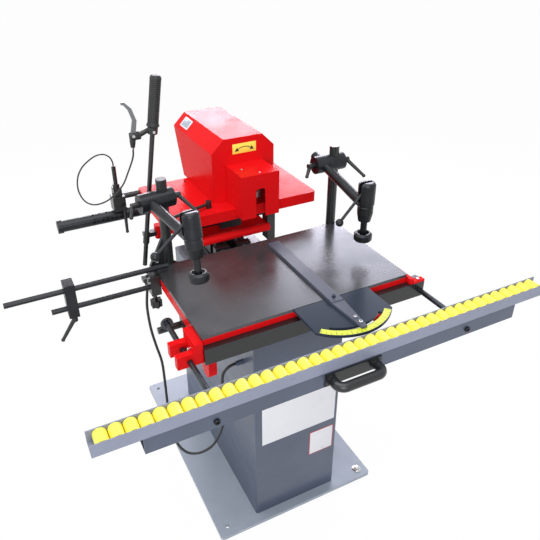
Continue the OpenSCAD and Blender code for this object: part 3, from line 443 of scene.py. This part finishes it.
class MORTISER_OT_finishes(bpy.types.Operator):
    """Gives every CAD node its painted, ground or moulded finish"""
    bl_idname = "mortiser.finishes"
    bl_label = "Finishes"

    def execute(self, context):
        mix_finishes(context.scene.mortiser_colours)
        for finish, nodes in FINISH_OF.items():
            for node in nodes:
                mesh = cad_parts[node].data
                mesh.materials.clear()
                mesh.materials.append(FINISHES[finish])
        return {"FINISHED"}


class MORTISER_OT_cables(bpy.types.Operator):
    """Lays the power cable and the brake cable along their routes"""
    bl_idname = "mortiser.cables"
    bl_label = "Cables"

    def lay(self, name, route, diameter, body, node, stiffness):
        """A round cable through a route, in place of a CAD node."""
        points = smooth_route(route)
        curve = bpy.data.curves.new(name, "CURVE")
        curve.dimensions = "3D"
        curve.bevel_depth = diameter / 2
        curve.bevel_resolution = 4
        curve.use_fill_caps = True
        line = curve.splines.new("POLY")
        line.points.add(len(points) - 1)
        for point, place in zip(line.points, points):
            point.co = (*place, 1.0)
        line.use_smooth = True
        curve.materials.append(FINISHES["cable_jacket"])
        obj = bpy.data.objects.new(name, curve)
        bpy.context.scene.collection.objects.link(obj)
        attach(obj, body)
        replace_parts(obj, node)

    def execute(self, context):
        sizes = context.scene.mortiser_sizes
        self.lay("power_lead", POWER_ROUTE, sizes.power_cable_d, "stand", "power_cable", "medium")
        self.lay("brake_line", BRAKE_ROUTE, sizes.brake_cable_d, "head", "brake_cable", "stiff")
        return {"FINISHED"}


class MORTISER_OT_grip(bpy.types.Operator):
    """Turns the ribbed rubber grip of the hand lever"""
    bl_idname = "mortiser.grip"
    bl_label = "Grip"

    def execute(self, context):
        rib = context.scene.mortiser_sizes.grip_rib
        low, long, r, groove = 449 * MM, 142 * MM, 16.5 * MM, 0.9 * MM
        outline = [(0, 0), (r + 2 * MM, 0), (r + 2 * MM, 4 * MM), (r, 8 * MM)]
        z = 12 * MM
        while z < long - 14 * MM:
            outline += [(r, z), (r - groove, z + 0.15 * rib), (r - groove, z + 0.4 * rib),
                        (r, z + 0.55 * rib)]
            z += rib
        outline += [(r, long - 8 * MM), (r - 1.5 * MM, long - 2.5 * MM), (r - 4 * MM, long), (0, long)]
        bm = bmesh.new()
        lathe(bm, outline, along_lever(low), steps=40)
        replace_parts(piece("ribbed_grip", bm, "head", "rubber"), "grip")
        return {"FINISHED"}


class MORTISER_OT_brake_mount(bpy.types.Operator):
    """Casts the brake lever's mount: ring, neck, fork with its pin, and cable barrel"""
    bl_idname = "mortiser.brake_mount"
    bl_label = "Brake mount"

    # outlines and places in millimetres
    ring_up = 437
    ring = [(7.05, -11), (13, -11), (15, -9), (15, 9), (13, 11), (7.05, 11), (7.05, -11)]
    neck_at, neck_size, neck_rise = (-296, 30, 1287.5), (36, 13, 13), math.radians(23)
    cheeks_at, cheek_size = ((-323.5, 23.5, 1280.5), (-323.5, 36.5, 1280.5)), (30, 5, 20)
    bridge_at, bridge_size = (-310.5, 30, 1279), (7, 17, 15)
    barrel_low, barrel_axis = (-333, 30, 1248.5), (0.083, 0, 1)
    barrel = [(0, 0), (6, 0), (6.6, 1.5), (9, 19), (8.4, 24), (0, 24)]
    pin_end = (-329, 39.9, 1282)
    pin = [(0, 0), (4.4, 0), (4.4, 1.1), (2.4, 1.1), (2.4, 18.7), (4.4, 18.7), (4.4, 19.8), (0, 19.8)]
    ferrule_low = (-333, 30, 1242)
    ferrule = [(0, 0), (3, 0), (3.4, 1), (5.4, 7), (5.4, 8), (0, 8)]
    pinch_screw_at = (-271, 15.5, 1287)

    def execute(self, context):
        bm = bmesh.new()
        lathe(bm, scaled(self.ring), along_lever(self.ring_up * MM))
        neck = Matrix.Translation(mm(*self.neck_at)) @ Matrix.Rotation(-self.neck_rise, 4, "Y")
        slab(bm, mm(*self.neck_size), neck, 3 * MM)
        for place in self.cheeks_at:
            slab(bm, mm(*self.cheek_size), Matrix.Translation(mm(*place)), 2 * MM)
        slab(bm, mm(*self.bridge_size), Matrix.Translation(mm(*self.bridge_at)), 2 * MM)
        lathe(bm, scaled(self.barrel), facing(self.barrel_low, self.barrel_axis))
        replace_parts(piece("cast_mount", bm, "head", "black_paint"), "brake_mount")
        bm = bmesh.new()
        lathe(bm, scaled(self.pin), facing(self.pin_end, FRONT), steps=20)
        lathe(bm, scaled(self.ferrule), facing(self.ferrule_low, UP), steps=20)
        cap_screw(bm, self.pinch_screw_at, FRONT, 4 * MM, 3.5 * MM)
        piece("mount_fittings", bm, "head", "bright_steel")
        return {"FINISHED"}


class MORTISER_OT_scale(bpy.types.Operator):
    """Prints the yellow scale with its ticks on the mitre sector"""
    bl_idname = "mortiser.scale"
    bl_label = "Mitre scale"

    pivot = mm(62, -442, 885)
    rim = 160 * MM
    half = 46  # degrees the scale reaches to each side
    last_tick = 45
    print_top, tick_top = 0.15 * MM, 0.2 * MM
    tick_half = 0.2  # degrees

    def band(self, bm, inner, outer, low, high, first, last):
        """A flat arc between two radii, measured in degrees from the front."""
        a = math.radians(first - 90)
        turn = math.radians(last - first)
        ends = [bm.verts.new((r * math.cos(a), r * math.sin(a), z)) for r, z in
                ((inner, low), (outer, low), (outer, high), (inner, high))]
        face = bm.faces.new(ends)
        steps = max(1, round((last - first) / 2))
        before = set(bm.verts) - set(ends)
        bmesh.ops.spin(bm, geom=[face] + list(face.edges) + ends, cent=(0, 0, 0), axis=UP, angle=turn,
                       steps=steps)
        if not face.is_valid:
            bm.faces.new(reversed(ends))
        moved(bm, [v for v in bm.verts if v not in before], Matrix.Translation(self.pivot))

    def execute(self, context):
        sizes = context.scene.mortiser_sizes
        outer = self.rim - sizes.scale_rim
        inner = outer - sizes.scale_w
        bm = bmesh.new()
        self.band(bm, inner, outer, 0, self.print_top, -self.half, self.half)
        piece("mitre_scale", bm, "table", "scale_print")
        bm = bmesh.new()
        for degrees in range(-self.last_tick, self.last_tick + 1, sizes.tick_step):
            long = 0.75 if degrees % 15 == 0 else 0.4
            self.band(bm, outer - long * sizes.scale_w, outer - 0.5 * MM, self.print_top, self.tick_top,
                      degrees - self.tick_half, degrees + self.tick_half)
        piece("scale_ticks", bm, "table", "print_black")
        return {"FINISHED"}


class MORTISER_OT_plates(bpy.types.Operator):
    """Fixes the bare plates and the arrow sticker"""
    bl_idname = "mortiser.plates"
    bl_label = "Plates and sticker"

    label_at = facing((5, -377.2, 432), FRONT)
    small_at = facing((94, -377.2, 255), FRONT)
    badge_at = facing((-37, 402, 1173), (-1, 0, 1))
    sticker_at = facing((58, 113.8, 1155), FRONT)
    edge_round = 0.2 * MM

    def plate(self, name, at, dims, body, finish, slot):
        """A thin plate about a place on the face it lies on."""
        bm = bmesh.new()
        slab(bm, dims, at, self.edge_round)
        piece(name, bm, body, finish)

    def execute(self, context):
        sizes = context.scene.mortiser_sizes
        label = (sizes.label_w, sizes.label_h, 0.6 * MM)
        self.plate("label_plate", self.label_at, label, "stand", "plate_white", "base_paint")
        self.plate("small_plate_border", self.small_at, mm(92, 104, 0.6), "stand", "print_red", "red_paint")
        self.plate("small_plate", self.small_at, mm(88, 100, 0.8), "stand", "plate_white", "base_paint")
        self.plate("hood_badge_border", self.badge_at, mm(72, 38, 0.6), "head", "plate_white", "base_paint")
        self.plate("hood_badge", self.badge_at, mm(56, 28, 0.9), "head", "base_paint", "base_paint")
        sticker = (sizes.sticker_w, sizes.sticker_h, 0.5 * MM)
        self.plate("arrow_sticker", self.sticker_at, sticker, "head", "sticker", "roller_plastic")
        self.arrow()
        return {"FINISHED"}

    def arrow(self):
        """A curved double arrow on the sticker: the chuck can turn either way."""
        bm = bmesh.new()
        radius, thick, sweep = 46 * MM, 1.3 * MM, math.radians(60)
        head_half, head_long, drop = 7 * MM, 14 * MM, 42 * MM
        low, high = 0.25 * MM, 0.35 * MM
        inner, outer = radius - thick, radius + thick
        first = math.pi / 2 - sweep / 2
        ends = [bm.verts.new((r * math.cos(first), r * math.sin(first), z)) for r, z in
                ((inner, low), (outer, low), (outer, high), (inner, high))]
        face = bm.faces.new(ends)
        bmesh.ops.spin(bm, geom=[face] + list(face.edges) + ends, cent=(0, 0, 0), axis=UP, angle=sweep,
                       steps=14)
        for side in (-1, 1):
            a = math.pi / 2 + side * sweep / 2
            out = Vector((math.cos(a), math.sin(a), 0))
            root = out * radius
            along = Vector((-math.sin(a), math.cos(a), 0)) * side
            corners = (root + out * head_half, root - out * head_half, root + along * head_long)
            tip = bm.faces.new([bm.verts.new(p + Vector((0, 0, low))) for p in corners])
            raised = bmesh.ops.extrude_face_region(bm, geom=[tip])["geom"]
            tops = [g for g in raised if isinstance(g, bmesh.types.BMVert)]
            bmesh.ops.translate(bm, vec=(0, 0, high - low), verts=tops)
        moved(bm, bm.verts, self.sticker_at @ Matrix.Translation((0, -drop, 0)))
        piece("turning_arrow", bm, "head", "print_black")


# Socket head screws: piece, body, finish, and for each screw its place in millimetres, the way it faces,
# its radius as a share of cap_r, and its height in millimetres
CAP_SCREWS = (
    ("rail_screws", "roller_support", "black_oxide", (
        ((-384, -653, 823), FRONT, 1.0, 6), ((361, -653, 823), FRONT, 1.0, 6))),
    ("clamp_screws", "table", "bright_steel", (
        ((-356, -404, 838), LEFT, 0.8, 5), ((362, -441, 864), UP, 0.6, 4),
        ((-319, -41, 902), FRONT, 0.6, 4), ((-313, -41, 932), FRONT, 0.6, 4))),
    ("table_screws", "table", "black_oxide", (
        ((34, -457, 885), UP, 0.5, 0.2), ((90, -457, 885), UP, 0.5, 0.2),
        ((-361, -95, 876), LEFT, 0.6, 5), ((-361, -69, 876), LEFT, 0.6, 5),
        ((-296, -29, 866), BACK, 0.7, 6), ((298, -29, 866), BACK, 0.7, 6),
        ((-264, -29, 866), BACK, 0.7, 6), ((330, -29, 866), BACK, 0.7, 6))),
    ("head_screws", "head", "bright_steel", (((16, 49, 1107), UP, 0.5, 2), ((57, 1, 1107), UP, 0.5, 2))),
    ("tray_screw", "head", "black_oxide", (((-82, 339, 977), UP, 0.5, 1),)),
    ("fence_screws", "mitre_fence", "bright_steel", (
        ((62, -570, 892.5), UP, 0.7, 5), ((62, -545, 892.5), UP, 0.7, 5))),
)


class MORTISER_OT_screws(bpy.types.Operator):
    """Sets the visible screws and the floor bolt"""
    bl_idname = "mortiser.screws"
    bl_label = "Screws"

    bolt_at, bolt_r, bolt_h = (265, -374, 12), 11 * MM, 9 * MM

    def execute(self, context):
        radius = context.scene.mortiser_sizes.cap_r
        for name, body, finish, screws in CAP_SCREWS:
            bm = bmesh.new()
            for place, normal, share, height in screws:
                cap_screw(bm, place, normal, share * radius, height * MM)
            piece(name, bm, body, finish)
        bm = bmesh.new()
        hex_bolt(bm, self.bolt_at, UP, self.bolt_r, self.bolt_h)
        piece("floor_bolt", bm, "stand", "bright_steel")
        return {"FINISHED"}


# Studio: the sky's strength as a light, the floor's size and tone, how much of the floor is the backdrop's
# own white (the rest keeps the shadow), and the soft lamps
SKY_LIGHT = 0.4
FLOOR_HALF, FLOOR_TONE, FLOOR_ROUGH = 40.0, (0.86, 0.86, 0.87, 1), 0.8
BACKDROP_SHARE = 0.97
MIDDLE = (0, -0.1, 0.95)
WHITE, LILAC, PALE_BLUE = (1, 1, 1), (0.95, 0.88, 1.0), (0.82, 0.87, 1.0)
# Name, place, aim, width, height, watts and tint
LAMPS = (
    ("ceiling_light", (-0.5, -0.4, 3.4), MIDDLE, 3.0, 2.4, 60, WHITE),
    ("rear_light", (1.3, 2.8, 1.98), MIDDLE, 3.4, 0.5, 84, LILAC),
    ("right_light", (1.75, 1.75, 2.34), (0, -0.2, 0.9), 1.2, 1.0, 13, PALE_BLUE),
    ("left_light", (-3.0, 0.3, 1.7), MIDDLE, 2.0, 1.8, 20, WHITE),
    ("front_fill", (-1.2, -3.0, 1.9), MIDDLE, 2.0, 1.6, 45, WHITE),
)


def backdrop_seen(tree):
    """1 for a ray from the camera, a mirror or glass, which sees the backdrop's own white."""
    path = put(tree, "ShaderNodeLightPath").outputs
    seen = path["Is Camera Ray"]
    for kind in ("Is Glossy Ray", "Is Transmission Ray"):
        either = put(tree, "ShaderNodeMath", {0: seen, 1: path[kind]}, operation="MAXIMUM")
        seen = either.outputs["Value"]
    return seen


def backdrop(tree, surface, white, share, output):
    """Mixes the backdrop's white into a surface for the rays that see it."""
    both = put(tree, "ShaderNodeMixShader", {0: share, 1: surface, 2: white}).outputs["Shader"]
    tree.links.new(both, tree.nodes[output].inputs["Surface"])


class MORTISER_OT_stage(bpy.types.Operator):
    """Sets the camera, the pale floor and the soft light"""
    bl_idname = "mortiser.stage"
    bl_label = "Studio"

    def camera(self, context):
        view = context.scene.mortiser_view
        lens = bpy.data.cameras.new("photo_camera")
        lens.sensor_width = SENSOR
        lens.lens = view.focal_px / PHOTO_PX * SENSOR
        lens.shift_x = 0.5 - view.centre_px[0] / PHOTO_PX
        lens.shift_y = view.centre_px[1] / PHOTO_PX - 0.5
        lens.clip_end = 50
        obj = bpy.data.objects.new("photo_camera", lens)
        turn = Euler((math.pi / 2 - view.dip, 0, -view.heading)).to_matrix().to_4x4()
        obj.matrix_world = Matrix.Translation(view.place) @ turn @ Matrix.Rotation(-view.roll, 4, "Z")
        context.scene.collection.objects.link(obj)
        context.scene.camera = obj

    def floor(self, context):
        bm = bmesh.new()
        bmesh.ops.create_grid(bm, x_segments=1, y_segments=1, size=FLOOR_HALF)
        mesh = bpy.data.meshes.new("studio_floor")
        bm.to_mesh(mesh)
        bm.free()
        material = bpy.data.materials.new("studio_floor")
        material.use_nodes = True
        tree = material.node_tree
        shader = tree.nodes["Principled BSDF"]
        shader.inputs["Base Color"].default_value = FLOOR_TONE
        shader.inputs["Roughness"].default_value = FLOOR_ROUGH
        glow = put(tree, "ShaderNodeEmission", {"Color": (1, 1, 1, 1), "Strength": 1.0}).outputs["Emission"]
        share = product(tree, backdrop_seen(tree), BACKDROP_SHARE)
        backdrop(tree, shader.outputs["BSDF"], glow, share, "Material Output")
        mesh.materials.append(material)
        obj = bpy.data.objects.new("studio_floor", mesh)
        context.scene.collection.objects.link(obj)

    def softbox(self, context, name, place, aim, wide, high, watts, tint):
        lamp = bpy.data.lights.new(name, "AREA")
        lamp.shape = "RECTANGLE"
        lamp.size, lamp.size_y, lamp.energy = wide, high, watts
        lamp.color = tint
        obj = bpy.data.objects.new(name, lamp)
        turn = (Vector(aim) - Vector(place)).to_track_quat("-Z", "Y").to_matrix().to_4x4()
        obj.matrix_world = Matrix.Translation(place) @ turn
        context.scene.collection.objects.link(obj)

    def sky(self, context):
        world = bpy.data.worlds.new("studio_sky")
        world.use_nodes = True
        tree = world.node_tree
        dim = tree.nodes["Background"]
        dim.inputs["Color"].default_value = (1, 1, 1, 1)
        dim.inputs["Strength"].default_value = SKY_LIGHT
        white = put(tree, "ShaderNodeBackground", {"Color": (1, 1, 1, 1), "Strength": 1.0})
        backdrop(tree, dim.outputs["Background"], white.outputs["Background"], backdrop_seen(tree),
                 "World Output")
        context.scene.world = world

    def execute(self, context):
        self.camera(context)
        self.floor(context)
        self.sky(context)
        for lamp in LAMPS:
            self.softbox(context, *lamp)
        context.scene.view_settings.view_transform = "Standard"
        return {"FINISHED"}


STEPS = (MORTISER_OT_stage, MORTISER_OT_finishes, MORTISER_OT_cables, MORTISER_OT_grip,
         MORTISER_OT_brake_mount, MORTISER_OT_scale, MORTISER_OT_plates, MORTISER_OT_screws)


class MORTISER_PT_panel(bpy.types.Panel):
    """Lists the steps and the values a user may change"""
    bl_label = "Slot mortiser"
    bl_space_type = "VIEW_3D"
    bl_region_type = "UI"
    bl_category = "Mortiser"

    def draw(self, context):
        for step in STEPS:
            self.layout.operator(step.bl_idname)
        for group in GROUPS:
            values = getattr(context.scene, group)
            for name in values.__annotations__:
                self.layout.prop(values, name)


GROUPS = {"mortiser_colours": MortiserColours, "mortiser_sizes": MortiserSizes,
          "mortiser_view": MortiserView}


def register():
    for cls in (*GROUPS.values(), *STEPS, MORTISER_PT_panel):
        bpy.utils.register_class(cls)
    for name, cls in GROUPS.items():
        setattr(bpy.types.Scene, name, PointerProperty(type=cls))


def unregister():
    for name in GROUPS:
        delattr(bpy.types.Scene, name)
    for cls in (MORTISER_PT_panel, *reversed(STEPS), *reversed(list(GROUPS.values()))):
        bpy.utils.unregister_class(cls)


def main():
    register()
    for step in STEPS:
        group, name = step.bl_idname.split(".")
        getattr(getattr(bpy.ops, group), name)()
    bpy.context.view_layer.update()


if __name__ == "__main__":
    main()
